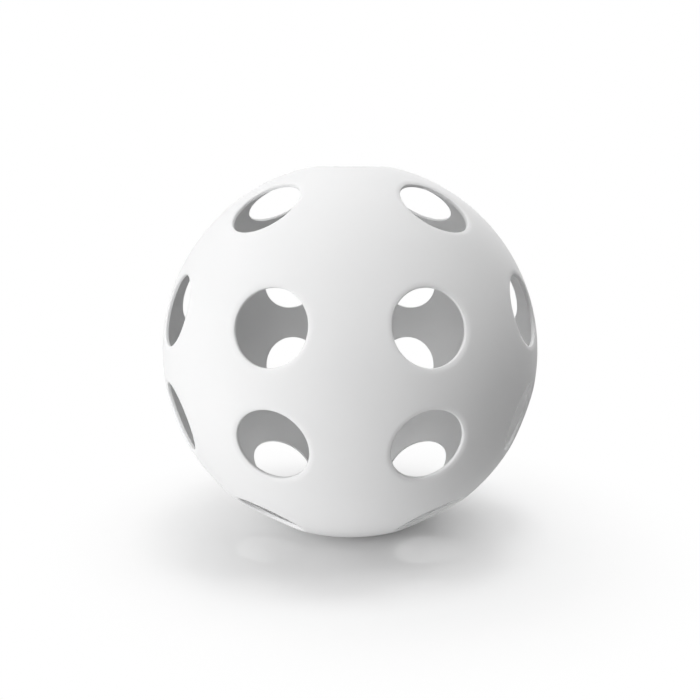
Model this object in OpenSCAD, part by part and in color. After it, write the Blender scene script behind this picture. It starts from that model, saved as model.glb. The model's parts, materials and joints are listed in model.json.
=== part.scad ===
// Perforated plastic practice baseball: two moulded half shells, lapped and welded at the equator.
// Sizes are in millimetres and angles in degrees. The origin is the centre of the ball, +Z runs
// through the two polar holes, and the seam lies in the plane z = 0.

/* [Ball] */
// Outside diameter of the ball
ball_d = 73; // [66:0.5:100]
// Thickness of the moulded wall
wall = 0.8; // [0.6:0.1:2.5]

/* [Holes] */
// Diameter of every hole
hole_d = 13.4; // [8:0.1:14]
// Radius that rounds the outer edge of every hole
rim_r = 0.55; // [0.3:0.05:1]
// Number of holes in the ring beside the seam
seam_ring_count = 8; // [5:1:8]
// Number of holes in the ring round the pole
pole_ring_count = 4; // [3:1:4]
// Latitude of the ring round the pole
pole_ring_latitude = 53.6; // [51:0.1:55]

/* [Seam] */
// Height of the plain band from the seam to the nearest rounded edges
seam_land = 3; // [2.4:0.05:4]
// Reach of the upper half's tongue past the seam
lap_h = 1.6; // [1:0.1:1.8]
// Thickness of the tongue
tongue_t = 0.35; // [0.2:0.05:0.4]
// Clearance between the tongue and the lower half's lip
lap_gap = 0.05; // [0.02:0.01:0.1]
// Height of the weld bead under the tongue
bead_h = 0.3; // [0.2:0.05:0.5]

/* [Hidden] */
$fn = 240;

ball_r = ball_d / 2;
inner_r = ball_r - wall;
hole_r = hole_d / 2;

// The rounded edge is an arc tangent to the bore. It meets the outer sphere at a slight angle,
// so that the edge between them is a clean circle.
rim_break = 4;
// The arc takes at most this share of the wall
rim_share = 0.7;
rim = min(rim_r, wall * rim_share);
rim_reach = sqrt(ball_r ^ 2 + rim ^ 2 - 2 * ball_r * rim * cos(rim_break));
rim_x = hole_r + rim;
rim_z = sqrt(rim_reach ^ 2 - rim_x ^ 2);
rim_polar = asin(rim_x / rim_reach);

// Latitude of the ring beside the seam, which leaves the plain band clear
seam_ring_latitude = asin(seam_land / ball_r) + rim_polar;

// Radii of the lap's two faces
tongue_r = inner_r + tongue_t;
lip_r = tongue_r + lap_gap;

// How far a cut runs past the surface that it opens
past = 1;

plastic = [0.94, 0.94, 0.94];

// Half section of the hollow sphere, to the right of the axis
module wall_section() {
    difference() {
        circle(ball_r);
        circle(inner_r);
        translate([-ball_d, -ball_d]) square([ball_d, 2 * ball_d]);
    }
}

// Rectangle from the axis out to a radius, between two heights
module band(radius, low, high) {
    translate([0, low]) square([radius, high - low]);
}

// Section of one hole's cut along its own axis: the straight bore, which the rounded edge widens
module hole_section() {
    low = sqrt(inner_r ^ 2 - hole_r ^ 2) - past;
    high = ball_r + past;
    flare = rim_x * (1 + rim / rim_reach);
    difference() {
        band(flare, low, high);
        translate([hole_r, low - past]) square([flare, rim_z - low + past]);
        translate([rim_x, rim_z]) circle(rim);
    }
}

// One radial hole, turned to its latitude and azimuth
module hole(latitude, azimuth) {
    rotate([0, 90 - latitude, azimuth]) rotate_extrude() hole_section();
}

// Evenly spaced holes at one latitude, with the first half a step from the front
module hole_ring(count, latitude) {
    step = 360 / count;
    for (i = [0 : count - 1]) hole(latitude, (i + 0.5) * step);
}

// All the holes of one half: the pole, the ring round it and the ring beside the seam.
// The side is 1 for the upper half and -1 for the lower.
module half_holes(side) {
    hole(90 * side, 0);
    hole_ring(pole_ring_count, pole_ring_latitude * side);
    hole_ring(seam_ring_count, seam_ring_latitude * side);
}

// Upper moulding: half the ball, with a tongue that reaches down inside the lower half
module upper_half_shell() {
    color(plastic) difference() {
        rotate_extrude() intersection() {
            wall_section();
            union() {
                band(ball_d, 0, ball_d);
                band(tongue_r, -lap_h, ball_d);
            }
        }
        half_holes(1);
    }
}

// Lower moulding: the other half, rebated inside its rim to leave a lip round the tongue
module lower_half_shell() {
    color(plastic) difference() {
        rotate_extrude() difference() {
            intersection() {
                wall_section();
                band(ball_d, -ball_d, 0);
            }
            band(lip_r, -lap_h - bead_h, past);
        }
        half_holes(-1);
    }
}

// Ring of melted plastic that fills the rebate under the tongue and joins the two halves
module weld_bead() {
    color(plastic) rotate_extrude() intersection() {
        wall_section();
        band(lip_r, -lap_h - bead_h, -lap_h);
    }
}

upper_half_shell();
lower_half_shell();
weld_bead();
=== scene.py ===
"""Looks of the perforated plastic practice baseball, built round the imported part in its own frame."""

from __future__ import annotations

import json
import logging
import math
from contextlib import contextmanager
from dataclasses import dataclass, field
from enum import Enum
from typing import Any, Callable, Iterator, Mapping

import bmesh
import bpy
from mathutils import Matrix, Vector

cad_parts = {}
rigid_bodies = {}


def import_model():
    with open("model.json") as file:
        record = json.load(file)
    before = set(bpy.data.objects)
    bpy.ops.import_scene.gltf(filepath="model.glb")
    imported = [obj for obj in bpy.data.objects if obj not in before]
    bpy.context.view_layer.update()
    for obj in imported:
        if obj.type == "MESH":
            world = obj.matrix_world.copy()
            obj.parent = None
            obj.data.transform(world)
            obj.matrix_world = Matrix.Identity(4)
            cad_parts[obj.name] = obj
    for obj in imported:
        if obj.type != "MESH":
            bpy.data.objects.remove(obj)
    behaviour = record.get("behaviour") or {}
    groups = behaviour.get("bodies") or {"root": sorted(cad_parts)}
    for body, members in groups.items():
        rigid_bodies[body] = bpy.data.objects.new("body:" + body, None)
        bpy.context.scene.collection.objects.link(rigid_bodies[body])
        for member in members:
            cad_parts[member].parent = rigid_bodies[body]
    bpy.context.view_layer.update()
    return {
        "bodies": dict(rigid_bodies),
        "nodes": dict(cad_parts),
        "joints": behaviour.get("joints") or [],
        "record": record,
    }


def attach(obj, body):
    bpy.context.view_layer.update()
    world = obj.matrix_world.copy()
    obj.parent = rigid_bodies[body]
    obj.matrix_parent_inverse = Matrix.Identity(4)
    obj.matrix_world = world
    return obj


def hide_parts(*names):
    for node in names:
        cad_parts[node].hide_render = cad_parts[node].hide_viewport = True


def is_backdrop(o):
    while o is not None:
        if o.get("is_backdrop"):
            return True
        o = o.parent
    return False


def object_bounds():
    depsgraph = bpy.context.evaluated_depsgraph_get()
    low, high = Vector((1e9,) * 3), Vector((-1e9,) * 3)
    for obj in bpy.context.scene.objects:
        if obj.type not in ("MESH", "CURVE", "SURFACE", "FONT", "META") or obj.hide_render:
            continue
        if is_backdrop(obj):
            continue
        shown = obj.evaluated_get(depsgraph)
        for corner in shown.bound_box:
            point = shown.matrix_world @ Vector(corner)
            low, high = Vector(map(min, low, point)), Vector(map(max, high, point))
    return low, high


LOG = logging.getLogger("perforated_ball")

# Lengths are in metres and angles in radians, unless a name or a docstring says otherwise
MILLIMETRE = 0.001
FULL_TURN = 2 * math.pi
RIGHT_ANGLE = math.pi / 2

# The origin is the ball's centre, +Z its axis, and the camera stands on the side of -Y
ORIGIN = Vector((0.0, 0.0, 0.0))
UP = Vector((0.0, 0.0, 1.0))
FRONT = -RIGHT_ANGLE

# What counts as equal: a cut's reach, a point on a surface or a rim, two angles, two holes' axes
HAIR = 1e-7
TOUCH = 1e-6
RIM_SLACK = 0.02 * MILLIMETRE
FINE_ANGLE = 1e-5
SAME_ANGLE = 1e-4
SAME_AXIS = 0.01

Colour = tuple[float, float, float, float]
FloorPoint = tuple[float, float]
WHITE: Colour = (1.0, 1.0, 1.0, 1.0)

# Strength at which a glow shows as plain white
PLAIN_WHITE = 1.0

# Sockets of a Mix node that mixes colours, by number, and the middle of a Noise node's range
MIX_SHARE, MIX_FIRST, MIX_SECOND, MIX_RESULT = 0, 6, 7, 2
NOISE_MIDDLE = 0.5


class Half(Enum):
    """The two mouldings of the ball."""

    UPPER = (1, "upper_shell", "upper_half_shell")
    LOWER = (-1, "lower_shell", "lower_half_shell")

    def __init__(self, side: int, piece: str, node: str) -> None:
        """Give the half its place and its names.

        Args:
            side: Sign of its side of the seam.
            piece: Name of its own piece.
            node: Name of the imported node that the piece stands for.
        """
        self.side = side
        self.piece = piece
        self.node = node


def direction(latitude: float, azimuth: float) -> Vector:
    """Return the unit vector at a latitude and an azimuth.

    Args:
        latitude: Angle above the seam's plane.
        azimuth: Angle about the ball's axis from +X.

    Returns:
        The vector.
    """
    return Vector((
        math.cos(latitude) * math.cos(azimuth),
        math.cos(latitude) * math.sin(azimuth),
        math.sin(latitude),
    ))


class Bench:
    """One object on the modelling bench, shaped by Blender's own operators."""

    def __init__(self, obj: bpy.types.Object) -> None:
        """Take an object in hand."""
        self.obj = obj

    @classmethod
    def vertex(cls, name: str, place: Vector) -> Bench:
        """Start a new object from a plane that is merged to one vertex.

        Args:
            name: Name of the object.
            place: Where the vertex stands.

        Returns:
            The bench that holds the object.
        """
        bpy.ops.object.select_all(action="DESELECT")
        bpy.ops.mesh.primitive_plane_add(size=MILLIMETRE, location=place)
        bench = cls(bpy.context.object)
        bench.rename(name)
        bench.settle()
        with bench.editing():
            bpy.ops.mesh.select_all(action="SELECT")
            bpy.ops.mesh.merge(type="CENTER")
        return bench

    def rename(self, name: str) -> None:
        """Give the object and its mesh a name."""
        self.obj.name = name
        self.obj.data.name = name

    def hold(self) -> None:
        """Make this object the only one selected, and the active one."""
        bpy.ops.object.select_all(action="DESELECT")
        self.obj.select_set(True)
        bpy.context.view_layer.objects.active = self.obj

    def settle(self) -> None:
        """Apply the object's place, turn and scale to its mesh."""
        self.hold()
        bpy.ops.object.transform_apply(location=True, rotation=True, scale=True)

    @contextmanager
    def editing(self) -> Iterator[None]:
        """Open the object in edit mode for the length of a with block.

        Yields:
            Nothing: the block works on what the object has selected.
        """
        self.hold()
        bpy.ops.object.mode_set(mode="EDIT")
        bpy.ops.mesh.select_mode(type="VERT")
        yield
        bpy.ops.object.mode_set(mode="OBJECT")

    def pick(self, test: Callable[[Vector], bool]) -> None:
        """Select, in edit mode, the vertices that pass a test, with what lies between them.

        Args:
            test: Tells from a vertex's place whether it is taken.
        """
        bpy.ops.mesh.select_mode(type="VERT")
        mesh = bmesh.from_edit_mesh(self.obj.data)
        for vertex in mesh.verts:
            vertex.select = test(vertex.co)
        mesh.select_flush_mode()
        bmesh.update_edit_mesh(self.obj.data)

    def pick_edges(self, test: Callable[[Vector, Vector], bool]) -> None:
        """Select, in edit mode, the edges that pass a test.

        Args:
            test: Tells from the places of an edge's two ends whether it is taken.
        """
        bpy.ops.mesh.select_mode(type="EDGE")
        mesh = bmesh.from_edit_mesh(self.obj.data)
        for edge in mesh.edges:
            edge.select = test(edge.verts[0].co, edge.verts[1].co)
        mesh.select_flush_mode()
        bmesh.update_edit_mesh(self.obj.data)

    def pick_rim(self, radius: float) -> None:
        """Select, in edit mode, the loop of a radius in the seam's plane."""
        self.pick(lambda point: abs(point.z) < RIM_SLACK and abs(point.xy.length - radius) < RIM_SLACK)

    def group(self, name: str, test: Callable[[Vector], bool]) -> None:
        """Put the vertices that pass a test of their place into a new vertex group."""
        group = self.obj.vertex_groups.new(name=name)
        group.add([v.index for v in self.obj.data.vertices if test(v.co)], 1.0, "REPLACE")

    def apply(self, kind: str, **settings: Any) -> None:
        """Add a modifier and apply it.

        Args:
            kind: The modifier's type.
            settings: Its properties.
        """
        self.hold()
        modifier = self.obj.modifiers.new(kind.title(), kind)
        for name, value in settings.items():
            setattr(modifier, name, value)
        bpy.ops.object.modifier_apply(modifier=modifier.name)

    def join(self, others: list[Bench]) -> None:
        """Join other objects into this one.

        Args:
            others: The benches that hold them.
        """
        self.hold()
        for other in others:
            other.obj.select_set(True)
        bpy.ops.object.join()

    def copy(self, name: str) -> Bench:
        """Copy the object, with a mesh of its own.

        Args:
            name: Name of the copy.

        Returns:
            The bench that holds it.
        """
        twin = Bench(self.obj.copy())
        twin.obj.data = self.obj.data.copy()
        twin.rename(name)
        bpy.context.scene.collection.objects.link(twin.obj)
        return twin

    def spin(self, steps: int, angle: float, centre: Vector, axis: Vector) -> None:
        """Sweep what is selected by the right-hand rule. The operator itself turns the other way."""
        bpy.ops.mesh.spin(steps=steps, angle=angle, center=centre, axis=-axis)

    def draw_out(self, step: Vector) -> None:
        """Extrude the selected end of a line by a step."""
        bpy.ops.mesh.extrude_vertices_move(TRANSFORM_OT_translate={"value": step})

    def draw_rim(self, drop: float, shrink: float) -> None:
        """Extrude the selected rim loop, lower it by a drop and scale it about the ball's axis."""
        bpy.ops.mesh.extrude_region_move(TRANSFORM_OT_translate={"value": (0.0, 0.0, -drop)})
        bpy.ops.transform.resize(value=(shrink, shrink, 1.0), center_override=ORIGIN)

    def cut(self, normal: Vector, place: Vector = ORIGIN, clear: bool = True) -> None:
        """Bisect all the geometry by a plane.

        Args:
            normal: The plane's normal.
            place: A point of the plane.
            clear: Whether what lies on the normal's side is removed.
        """
        bpy.ops.mesh.select_all(action="SELECT")
        bpy.ops.mesh.bisect(plane_co=place, plane_no=normal, clear_outer=clear, threshold=HAIR)

    def turn(self, angle: float) -> None:
        """Turn the object about the ball's axis."""
        self.obj.rotation_euler.z = angle
        self.settle()

    def weld(self, distance: float) -> None:
        """Merge the vertices that lie near each other.

        Args:
            distance: How near that is.
        """
        with self.editing():
            bpy.ops.mesh.select_all(action="SELECT")
            bpy.ops.mesh.remove_doubles(threshold=distance)

    def smooth(self, angle: float) -> None:
        """Turn all faces outwards and shade them smooth.

        Args:
            angle: Edges that turn by more than this stay sharp.
        """
        with self.editing():
            bpy.ops.mesh.select_all(action="SELECT")
            bpy.ops.mesh.normals_make_consistent(inside=False)
        self.hold()
        bpy.ops.object.shade_smooth_by_angle(angle=angle)


@dataclass
class BallShell:
    """The two half shells: a hollow sphere, pierced by round holes with softly rounded outer edges.

    Each hole is drawn as one section and spun about its own axis. The spun patch is cut by the planes
    midway to the neighbouring holes, so that patches meet vertex to vertex, and one eighth of a half is
    mirrored to the whole. A hole's edge is a tight arc from its bore, which eases into the sphere over a
    wide one, the shoulder. The halves meet in a lap: the upper one's tongue stands in the lower one's rebate.
    """

    radius: float = 36.5 * MILLIMETRE
    wall: float = 0.8 * MILLIMETRE
    hole_radius: float = 6.7 * MILLIMETRE
    rim_round: float = 0.28 * MILLIMETRE
    shoulder_round: float = 2.2 * MILLIMETRE
    shoulder_turn: float = math.radians(24.0)
    seam_ring_latitude: float = math.radians(16.349)
    seam_ring_count: int = 8
    pole_ring_latitude: float = math.radians(53.6)
    pole_ring_count: int = 4
    lap_height: float = 1.6 * MILLIMETRE
    tongue: float = 0.35 * MILLIMETRE
    lap_gap: float = 0.05 * MILLIMETRE
    bead_height: float = 0.3 * MILLIMETRE
    rim_steps: int = 10
    shoulder_steps: int = 5
    collar: float = math.radians(1.6)
    collar_steps: int = 3
    spoke_step: float = math.radians(3.75)
    least_spoke: float = 0.001
    field_cuts: int = 6
    patch_reach: float = math.radians(34.0)
    seam_row: float = 0.12 * MILLIMETRE
    weld_distance: float = 0.002 * MILLIMETRE
    sharp_angle: float = math.radians(40.0)
    newton_steps: int = 8
    halves: dict[Half, bpy.types.Object] = field(default_factory=dict)

    @property
    def inner_radius(self) -> float:
        """Radius of the inside of the wall."""
        return self.radius - self.wall

    @property
    def faces(self) -> dict[str, float]:
        """Radius of each face of the wall, by the name of its vertex group."""
        return {"outside": self.radius, "inside": self.inner_radius}

    @property
    def seam_turn(self) -> float:
        """Angle from one hole beside the seam to the next."""
        return FULL_TURN / self.seam_ring_count

    @property
    def inner_polar(self) -> float:
        """Angle from a hole's axis to the hole's inner edge."""
        return math.asin(self.hole_radius / self.inner_radius)

    @property
    def rim_polar(self) -> float:
        """Find, by Newton's steps, how far from a hole's axis its shoulder meets the sphere.

        Returns:
            The angle between the axis and that circle, seen from the ball's centre.
        """
        wide = self.radius - self.shoulder_round
        gain = self.shoulder_round - self.rim_round
        angle = math.asin(self.hole_radius / self.radius)
        for _ in range(self.newton_steps):
            turn = angle - self.shoulder_turn
            miss = wide * math.sin(angle) + gain * math.sin(turn) - self.rim_round - self.hole_radius
            angle -= miss / (wide * math.cos(angle) + gain * math.cos(turn))
        return angle

    def holes(self) -> list[Vector]:
        """Place the holes of both halves.

        Returns:
            Their axes.
        """
        rings = (
            (self.pole_ring_count, self.pole_ring_latitude),
            (self.seam_ring_count, self.seam_ring_latitude),
        )
        axes = []
        for half in Half:
            axes.append(UP * half.side)
            for count, latitude in rings:
                turn = FULL_TURN / count
                axes += [direction(latitude * half.side, (i + 0.5) * turn) for i in range(count)]
        return axes

    def walls_between(self, axis: Vector) -> list[Vector]:
        """Return the normals of the planes midway from one hole to the holes near it."""
        near = [other for other in self.holes() if SAME_AXIS < axis.angle(other) < 2 * self.patch_reach]
        return [(other - axis).normalized() for other in near]

    def corners(self, axis: Vector, start: Vector) -> list[float]:
        """Find where the planes round a hole's patch meet each other on the patch's border.

        Args:
            axis: The hole's axis.
            start: A direction square to the axis, from which angles are counted.

        Returns:
            The corners' angles about the axis, in rising order.
        """
        planes = self.walls_between(axis)
        side = axis.cross(start)
        angles: list[float] = []
        for i, first in enumerate(planes):
            for second in planes[i + 1:]:
                corner = first.cross(second)
                if corner.length < FINE_ANGLE:
                    continue
                corner.normalize()
                corner *= math.copysign(1.0, corner.dot(axis))
                if max(corner.dot(plane) for plane in planes) > FINE_ANGLE:
                    continue
                angle = math.atan2(corner.dot(side), corner.dot(start)) % FULL_TURN
                if all(abs(angle - known) > SAME_ANGLE for known in angles):
                    angles.append(angle)
        return sorted(angles)

    def section(self, axis: Vector, start: Vector) -> Bench:
        """Draw half of a hole's section: inside face, bore, rounded edge, shoulder and outside face.

        Args:
            axis: The hole's axis.
            start: The direction square to the axis in which the section lies.

        Returns:
            The bench that holds the line.
        """
        square = start.cross(axis)

        def at(radius: float, angle: float) -> Vector:
            """Return the point of the section at a radius and an angle from the axis."""
            return (axis * math.cos(angle) + start * math.sin(angle)) * radius

        far = at(self.inner_radius, self.patch_reach)
        shoulder = at(self.radius - self.shoulder_round, self.rim_polar)
        turn = self.rim_polar - self.shoulder_turn
        edge = shoulder + at(self.shoulder_round - self.rim_round, turn)
        bore_top = axis * edge.dot(axis) + start * self.hole_radius
        bench = Bench.vertex("hole_patch", far)
        with bench.editing():
            bpy.ops.mesh.select_all(action="SELECT")
            bench.draw_out(at(self.inner_radius, self.inner_polar + self.collar) - far)
            bench.spin(self.collar_steps, self.collar, ORIGIN, square)
            bench.draw_out(bore_top - at(self.inner_radius, self.inner_polar))
            bench.spin(self.rim_steps, -RIGHT_ANGLE - turn, edge, square)
            bench.spin(self.shoulder_steps, -self.shoulder_turn, shoulder, square)
            bench.spin(self.collar_steps, -self.collar, ORIGIN, square)
            bench.draw_out(at(self.radius, self.patch_reach) - at(self.radius, self.rim_polar + self.collar))
        for face, radius in self.faces.items():
            bench.group(face, lambda point: abs(point.length - radius) < self.weld_distance)
        return bench

    def patch(self, axis: Vector) -> Bench:
        """Make one hole and the wall round it, out to the planes midway to the next holes.

        Args:
            axis: The hole's axis.

        Returns:
            The bench that holds the patch.
        """
        start = axis.orthogonal().normalized()
        corners = self.corners(axis, start)
        start = Matrix.Rotation(corners[0], 3, axis) @ start
        spans = [b - a for a, b in zip(corners, corners[1:] + [corners[0] + FULL_TURN])]
        ends = (self.inner_polar + self.collar, self.rim_polar + self.collar)

        def is_spoke(a: Vector, b: Vector) -> bool:
            """Tell whether an edge runs from a collar's last ring out to the patch's border."""
            near, far = sorted((axis.angle(a), axis.angle(b)))
            return far - near > self.least_spoke and any(abs(near - end) < FINE_ANGLE for end in ends)

        bench = self.section(axis, start)
        with bench.editing():
            bpy.ops.mesh.select_all(action="SELECT")
            for span in spans:
                bench.spin(max(1, round(span / self.spoke_step)), span, ORIGIN, axis)
            bpy.ops.mesh.select_all(action="SELECT")
            bpy.ops.mesh.remove_doubles(threshold=self.weld_distance)
            for plane in self.walls_between(axis):
                bench.cut(plane)
            bench.pick_edges(is_spoke)
            bpy.ops.mesh.subdivide(number_cuts=self.field_cuts)
        return bench

    def eighth(self) -> Bench:
        """Make an eighth of the upper half.

        Returns:
            The bench that holds one hole beside the seam, half of the one above it and a bit of the pole's.
        """
        low = self.patch(direction(self.seam_ring_latitude, self.seam_turn / 2))
        high = self.patch(direction(self.pole_ring_latitude, self.seam_turn))
        pole = self.patch(UP)
        border = direction(0.0, self.seam_turn + RIGHT_ANGLE)
        with high.editing():
            high.cut(border)
        with pole.editing():
            pole.cut(border)
            pole.cut(direction(0.0, FRONT))
        low.join([high, pole])
        low.weld(self.weld_distance)
        with low.editing():
            low.cut(UP, UP * self.seam_row, clear=False)
        for face, radius in self.faces.items():
            low.apply(
                "CAST",
                cast_type="SPHERE",
                factor=1.0,
                use_radius_as_size=False,
                size=radius,
                vertex_group=face,
            )
        return low

    def half_skin(self) -> Bench:
        """Mirror the eighth to the whole upper half.

        Returns:
            The bench that holds the half, still open at the seam.
        """
        bench = self.eighth()
        bench.turn(-self.seam_turn)
        bench.apply("MIRROR", use_axis=(False, True, False), merge_threshold=self.weld_distance)
        bench.turn(self.seam_turn)
        bench.apply("MIRROR", use_axis=(True, True, False), merge_threshold=self.weld_distance)
        return bench

    def add_tongue(self, bench: Bench) -> None:
        """Draw the upper half's rim in to a shoulder and down to the tongue.

        Args:
            bench: Holds the upper half.
        """
        tongue_radius = self.inner_radius + self.tongue
        end_radius = math.sqrt(self.inner_radius ** 2 - self.lap_height ** 2)
        with bench.editing():
            bench.pick_rim(self.radius)
            bench.draw_rim(0.0, tongue_radius / self.radius)
            bench.draw_rim(self.lap_height, 1.0)
            bench.draw_rim(0.0, end_radius / tongue_radius)
            bench.pick_rim(self.inner_radius)
            bench.draw_rim(self.lap_height, end_radius / self.inner_radius)

    def add_rebate(self, bench: Bench) -> None:
        """Cut the lower half's inside back below the tongue and the weld, and leave a lip outside them.

        Args:
            bench: Holds the lower half.
        """
        lip_radius = self.inner_radius + self.tongue + self.lap_gap
        depth = self.lap_height + self.bead_height
        floor_radius = math.sqrt(self.inner_radius ** 2 - depth ** 2)
        middle = (lip_radius + floor_radius) / 2
        reach = (lip_radius - floor_radius) / 2 + RIM_SLACK
        with bench.editing():
            bench.pick(lambda point: point.length < self.inner_radius + TOUCH)
            bpy.ops.mesh.bisect(plane_co=-UP * depth, plane_no=UP, clear_outer=True, threshold=HAIR)
            bench.pick_rim(self.radius)
            bench.draw_rim(0.0, lip_radius / self.radius)
            bench.draw_rim(depth, 1.0)
            bench.pick(lambda point: abs(point.z + depth) < TOUCH and abs(point.xy.length - middle) < reach)
            bpy.ops.mesh.bridge_edge_loops()

    def build(self) -> None:
        """Make both half shells, with the lap at their rims."""
        upper = self.half_skin()
        lower = upper.copy(Half.LOWER.piece)
        upper.rename(Half.UPPER.piece)
        lower.obj.scale.z = -1.0
        lower.settle()
        self.add_tongue(upper)
        self.add_rebate(lower)
        for half, bench in ((Half.UPPER, upper), (Half.LOWER, lower)):
            bench.weld(self.weld_distance)
            bench.smooth(self.sharp_angle)
            bench.obj.vertex_groups.clear()
            self.halves[half] = bench.obj

    def dress(self, material: bpy.types.Material) -> None:
        """Give both shells their finish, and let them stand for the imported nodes.

        Args:
            material: The shells' material.
        """
        for half, obj in self.halves.items():
            obj.data.materials.clear()
            obj.data.materials.append(material)
            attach(obj, "root")
            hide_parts(half.node)
            LOG.info("%s: %d faces in place of %s", obj.name, len(obj.data.polygons), half.node)


@dataclass
class WeldBead:
    """The ring of melted plastic inside the seam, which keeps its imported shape."""

    node: str = "weld_bead"

    def dress(self, frame: Mapping[str, Any], material: bpy.types.Material) -> None:
        """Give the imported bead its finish.

        Args:
            material: The bead's material.
        """
        bead = frame["nodes"][self.node]
        bead.data.materials.clear()
        bead.data.materials.append(material)
        LOG.info("%s keeps its packed shape", self.node)


class Signal:
    """A value inside a material, on which Python's own arithmetic adds Math nodes."""

    def __init__(self, graph: Graph, socket: bpy.types.NodeSocket) -> None:
        """Wrap an output socket of a material's graph."""
        self.graph = graph
        self.socket = socket

    def _math(self, operation: str, first: Signal | float, second: Signal | float) -> Signal:
        """Return the result of a Math node."""
        return self.graph.node("ShaderNodeMath", {"operation": operation}, {0: first, 1: second}, "Value")

    def __add__(self, other: Signal | float) -> Signal:
        """Return the sum."""
        return self._math("ADD", self, other)

    __radd__ = __add__

    def __sub__(self, other: Signal | float) -> Signal:
        """Return the difference."""
        return self._math("SUBTRACT", self, other)

    def __rsub__(self, other: Signal | float) -> Signal:
        """Return the difference from a number."""
        return self._math("SUBTRACT", other, self)

    def __mul__(self, other: Signal | float) -> Signal:
        """Return the product."""
        return self._math("MULTIPLY", self, other)

    __rmul__ = __mul__

    def max(self, other: Signal | float) -> Signal:
        """Return the larger of the two."""
        return self._math("MAXIMUM", self, other)


class Graph:
    """The node graph of one material or world."""

    def __init__(self, owner: bpy.types.Material | bpy.types.World) -> None:
        """Empty the owner's graph and take it in hand.

        Args:
            owner: The material or world.
        """
        owner.use_nodes = True
        self.owner = owner
        self.tree = owner.node_tree
        self.tree.nodes.clear()

    def node(
        self,
        kind: str,
        settings: Mapping[str, Any] | None = None,
        inputs: Mapping[str | int, Any] | None = None,
        output: str | int = 0,
    ) -> Signal:
        """Add a node.

        Args:
            kind: The node's type.
            settings: Its properties, which are set first.
            inputs: A value or a signal for each named or numbered socket.
            output: The socket that the caller goes on with.

        Returns:
            That output as a signal.
        """
        node = self.tree.nodes.new(kind)
        for name, value in (settings or {}).items():
            setattr(node, name, value)
        for name, value in (inputs or {}).items():
            if isinstance(value, Signal):
                self.tree.links.new(value.socket, node.inputs[name])
            else:
                node.inputs[name].default_value = value
        return Signal(self, node.outputs[output])

    def position(self) -> Signal:
        """Return the object's own coordinates."""
        return self.node("ShaderNodeTexCoord", output="Object")

    def noise(self, size: float, detail: float) -> Signal:
        """Return a soft noise with features of a size."""
        inputs = {"Vector": self.position(), "Scale": 1 / size, "Detail": detail}
        return self.node("ShaderNodeTexNoise", {}, inputs, "Fac")

    def glow(self, strength: float) -> Signal:
        """Return white light of a strength."""
        return self.node("ShaderNodeEmission", {}, {"Color": WHITE, "Strength": strength}, "Emission")

    def paint(self, colour: Colour) -> Signal:
        """Return matt paint of a colour."""
        return self.node("ShaderNodeBsdfDiffuse", {}, {"Color": colour}, "BSDF")

    def both(self, first: Signal, second: Signal) -> Signal:
        """Return the sum of two surfaces."""
        return self.node("ShaderNodeAddShader", {}, {0: first, 1: second}, "Shader")

    def mix(self, share: Signal, first: Signal, second: Signal) -> Signal:
        """Return two surfaces, mixed by the second's share."""
        return self.node("ShaderNodeMixShader", {}, {0: share, 1: first, 2: second}, "Shader")

    def seen(self) -> Signal:
        """Tell the rays that show the backdrop, straight, mirrored or through glass, from the others.

        Returns:
            1 on those rays and 0 on the others.
        """
        rays = ("Is Camera Ray", "Is Glossy Ray", "Is Transmission Ray")
        camera, glossy, through = (self.node("ShaderNodeLightPath", output=ray) for ray in rays)
        return camera.max(glossy).max(through)

    def finish(self, surface: Signal) -> None:
        """Link a surface to a new output node.

        Args:
            surface: The material's or world's whole surface.
        """
        world = isinstance(self.owner, bpy.types.World)
        output = self.tree.nodes.new("ShaderNodeOutputWorld" if world else "ShaderNodeOutputMaterial")
        self.tree.links.new(surface.socket, output.inputs["Surface"])


@dataclass(frozen=True)
class MouldedPlastic:
    """Satin white polyethylene as it leaves the mould: nearly even, with a faint bloom and a fine grain."""

    name: str = "moulded_white_plastic"
    colour: Colour = (0.80, 0.80, 0.80, 1.0)
    gloss: float = 0.1
    roughness: float = 0.55
    roughness_swing: float = 0.07
    bloom_colour: Colour = (0.775, 0.777, 0.78, 1.0)
    bloom_size: float = 11.0 * MILLIMETRE
    bloom_detail: float = 3.0
    grain_size: float = 0.32 * MILLIMETRE
    grain_detail: float = 2.0
    grain_height: float = 0.004 * MILLIMETRE
    grain_strength: float = 0.25

    def material(self) -> bpy.types.Material:
        """Build the material on the ball's own coordinates.

        Returns:
            The material.
        """
        material = bpy.data.materials.new(self.name)
        graph = Graph(material)
        bloom = graph.noise(self.bloom_size, self.bloom_detail)
        grain = graph.noise(self.grain_size, self.grain_detail)
        colour = graph.node(
            "ShaderNodeMix",
            {"data_type": "RGBA"},
            {MIX_SHARE: bloom, MIX_FIRST: self.colour, MIX_SECOND: self.bloom_colour},
            MIX_RESULT,
        )
        roughness = self.roughness + self.roughness_swing * (bloom + grain - 2 * NOISE_MIDDLE)
        normal = graph.node(
            "ShaderNodeBump",
            {},
            {"Height": grain, "Strength": self.grain_strength, "Distance": self.grain_height},
            "Normal",
        )
        surface = graph.node(
            "ShaderNodeBsdfPrincipled",
            {},
            {
                "Base Color": colour,
                "Roughness": roughness,
                "Specular IOR Level": self.gloss,
                "Normal": normal,
            },
            "BSDF",
        )
        graph.finish(surface)
        return material


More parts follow.
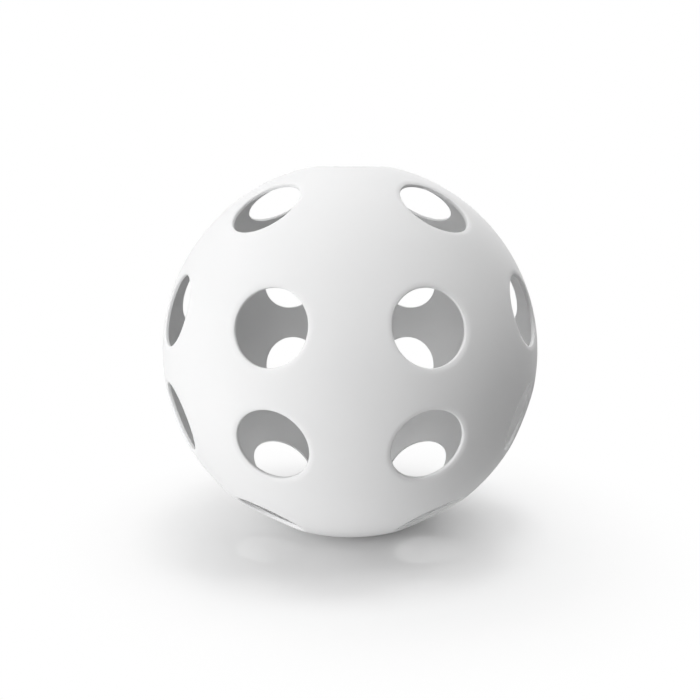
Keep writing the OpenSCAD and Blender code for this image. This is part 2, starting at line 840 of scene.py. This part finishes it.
@dataclass(frozen=True)
class StudioFloor:
    """White floor: the ball's shadow lies on it, and away from a point near the ball it is painted over to
    plain white, painted light on the outer part of the shadow.

    Where it shows, it is lit paint with a little painted light of its own. The light that it throws up on the
    ball comes from a dimmer paint and from a ring that glows round the place where the ball stands, painted
    light in place of what a floor would bounce.
    """

    name: str = "studio_floor"
    paint: Colour = (0.85, 0.85, 0.85, 1.0)
    # Painted light: the floor that shows glows a little of its own, which lifts its shadow.
    own_light: float = 0.04
    # Painted light: round this point, past this distance and over this width, the floor that shows is painted
    # over towards plain white. This covers the outer part of the ball's shadow and shapes it.
    painted_white_centre: FloorPoint = (5.0 * MILLIMETRE, -6.0 * MILLIMETRE)
    painted_white_reach: float = 7.0 * MILLIMETRE
    painted_white_fade: float = 60.0 * MILLIMETRE
    # Painted light and shade: for the rays that light the ball, the floor is a dimmer paint with a glowing
    # ring round the ball's place, in place of the light a floor would bounce.
    bounce_paint: Colour = (0.4, 0.4, 0.4, 1.0)
    ring_centre: FloorPoint = (0.0, 0.0)
    ring_light: float = 0.44
    ring_start: float = 6.0 * MILLIMETRE
    ring_rise: float = 22.0 * MILLIMETRE
    ring_end: float = 35.0 * MILLIMETRE
    ring_fade: float = 15.0 * MILLIMETRE

    def fade(self, graph: Graph, centre: FloorPoint, start: float, width: float) -> Signal:
        """Add a smooth rise with the distance from a point of the floor.

        Args:
            graph: The floor's graph.
            centre: The point.
            start: The distance up to which the result is 0.
            width: How much further away the result is 1.

        Returns:
            The rise from 0 to 1.
        """
        level = {"operation": "MULTIPLY"}
        flat = graph.node("ShaderNodeVectorMath", level, {0: graph.position(), 1: (1.0, 1.0, 0.0)}, "Vector")
        apart = {"operation": "DISTANCE"}
        away = graph.node("ShaderNodeVectorMath", apart, {0: flat, 1: (*centre, 0.0)}, "Value")
        return graph.node(
            "ShaderNodeMapRange",
            {"interpolation_type": "SMOOTHSTEP"},
            {"Value": away, "From Min": start, "From Max": start + width},
            "Result",
        )

    def material(self) -> bpy.types.Material:
        """Build the floor's material.

        Returns:
            The material.
        """
        material = bpy.data.materials.new(self.name)
        graph = Graph(material)
        # Painted light: the glowing ring and the dimmer paint are only what the rays that light the ball
        # meet. The camera sees the brighter paint with its own glow.
        dark = graph.glow(0.0)
        rise = self.fade(graph, self.ring_centre, self.ring_start, self.ring_rise)
        fall = self.fade(graph, self.ring_centre, self.ring_end, self.ring_fade)
        ring = graph.mix(rise, dark, graph.mix(fall, graph.glow(self.ring_light), dark))
        thrown = graph.both(graph.paint(self.bounce_paint), ring)
        near = graph.both(graph.paint(self.paint), graph.glow(self.own_light))
        # Painted light: the floor that shows turns to plain white away from a point near the ball, over the
        # outer part of its shadow.
        far = self.fade(graph, self.painted_white_centre, self.painted_white_reach, self.painted_white_fade)
        shown = graph.mix(far, near, graph.glow(PLAIN_WHITE))
        graph.finish(graph.mix(graph.seen(), thrown, shown))
        return material


class Panel(Enum):
    """The kinds of lamp panel: distance from the ball's centre, width and height."""

    WIDE = (0.7, 0.4, 0.4)
    SMALL = (0.7, 0.16, 0.16)
    CARD = (0.15, 0.1, 0.024)


def aim_at_ball(obj: bpy.types.Object, toward: Vector, distance: float) -> None:
    """Stand a lamp or a camera off the ball, aimed at its centre, and add it to the scene.

    Args:
        obj: The lamp or the camera.
        toward: Unit vector from the ball's centre to where it stands.
        distance: How far off it stands.
    """
    obj.location = toward * distance
    obj.rotation_euler = toward.to_track_quat("Z", "Y").to_euler()
    bpy.context.scene.collection.objects.link(obj)


@dataclass(frozen=True)
class Softbox:
    """One rectangular studio lamp that faces the ball.

    Its azimuth and elevation are in degrees, and the azimuth is counted from the camera's side to the right.
    """

    name: str
    azimuth: float
    elevation: float
    panel: Panel
    radiance: float

    def build(self) -> None:
        """Set the lamp up, out of the camera's sight."""
        distance, width, height = self.panel.value
        lamp = bpy.data.lights.new(self.name, "AREA")
        lamp.shape = "RECTANGLE"
        lamp.size = width
        lamp.size_y = height
        lamp.energy = self.radiance * math.pi * width * height
        obj = bpy.data.objects.new(self.name, lamp)
        obj.visible_camera = False
        toward = direction(math.radians(self.elevation), FRONT + math.radians(self.azimuth))
        aim_at_ball(obj, toward, distance)


@dataclass
class Studio:
    """Floor, backdrop, lamps and camera."""

    floor: StudioFloor = field(default_factory=StudioFloor)
    floor_side: float = 4.0
    sky: float = 0.0
    lamps: tuple[Softbox, ...] = (
        Softbox("key_left", -40.0, 5.0, Panel.WIDE, 7.4),
        Softbox("side_left", -100.0, 15.0, Panel.WIDE, 1.8),
        Softbox("fill_right", 60.0, 20.0, Panel.WIDE, 0.5),
        Softbox("back_left", -130.0, 45.0, Panel.WIDE, 1.5),
        Softbox("back_right", 150.0, 25.0, Panel.WIDE, 0.8),
        Softbox("top_front", 0.0, 75.0, Panel.WIDE, 1.0),
        Softbox("top_right", 85.0, 60.0, Panel.WIDE, 3.5),
        Softbox("top_back", 180.0, 60.0, Panel.WIDE, 1.9),
        Softbox("overhead", 90.0, 87.0, Panel.SMALL, 14.0),
        Softbox("low_card_left", -55.0, -8.0, Panel.CARD, 4.5),
        Softbox("low_card_front", -15.0, -8.0, Panel.CARD, 2.3),
    )
    lens_mm: float = 50.0
    sensor_mm: float = 36.0
    near_clip: float = 0.01
    far_clip: float = 50.0
    camera_distance: float = 192.8 * MILLIMETRE
    camera_elevation: float = math.radians(11.23)

    def build_floor(self, height: float) -> None:
        """Lay the floor.

        Args:
            height: Where it lies.
        """
        bpy.ops.object.select_all(action="DESELECT")
        bpy.ops.mesh.primitive_plane_add(size=self.floor_side, location=(0.0, 0.0, height))
        floor = bpy.context.object
        floor.name = "floor"
        bpy.ops.object.transform_apply(location=True)
        floor.data.materials.append(self.floor.material())
        floor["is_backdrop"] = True

    def build_world(self) -> None:
        """Show white behind the ball, and leave its light to the lamps and the floor."""
        world = bpy.data.worlds.new("studio")
        bpy.context.scene.world = world
        graph = Graph(world)
        sky, backdrop = (
            graph.node("ShaderNodeBackground", {}, {"Color": WHITE, "Strength": strength}, "Background")
            for strength in (self.sky, PLAIN_WHITE)
        )
        graph.finish(graph.mix(graph.seen(), sky, backdrop))

    def build_camera(self) -> None:
        """Stand the camera where the photograph was taken from."""
        data = bpy.data.cameras.new("camera")
        data.lens = self.lens_mm
        data.sensor_width = self.sensor_mm
        data.clip_start = self.near_clip
        data.clip_end = self.far_clip
        camera = bpy.data.objects.new("camera", data)
        aim_at_ball(camera, direction(self.camera_elevation, FRONT), self.camera_distance)
        bpy.context.scene.camera = camera

    def build(self, floor_height: float) -> None:
        """Set the whole studio up round the ball.

        Args:
            floor_height: Where the ball's lowest point is.
        """
        self.build_floor(floor_height)
        self.build_world()
        for lamp in self.lamps:
            lamp.build()
        self.build_camera()
        bpy.context.scene.view_settings.view_transform = "Standard"
        LOG.info("studio with %d lamps", len(self.lamps))


def main() -> None:
    """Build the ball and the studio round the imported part."""
    logging.basicConfig(level=logging.INFO, format="%(name)s: %(message)s")
    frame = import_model()
    plastic = MouldedPlastic().material()
    ball = BallShell()
    ball.build()
    ball.dress(plastic)
    WeldBead().dress(frame, plastic)
    Studio().build(floor_height=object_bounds()[0][2])


if __name__ == "__main__":
    main()
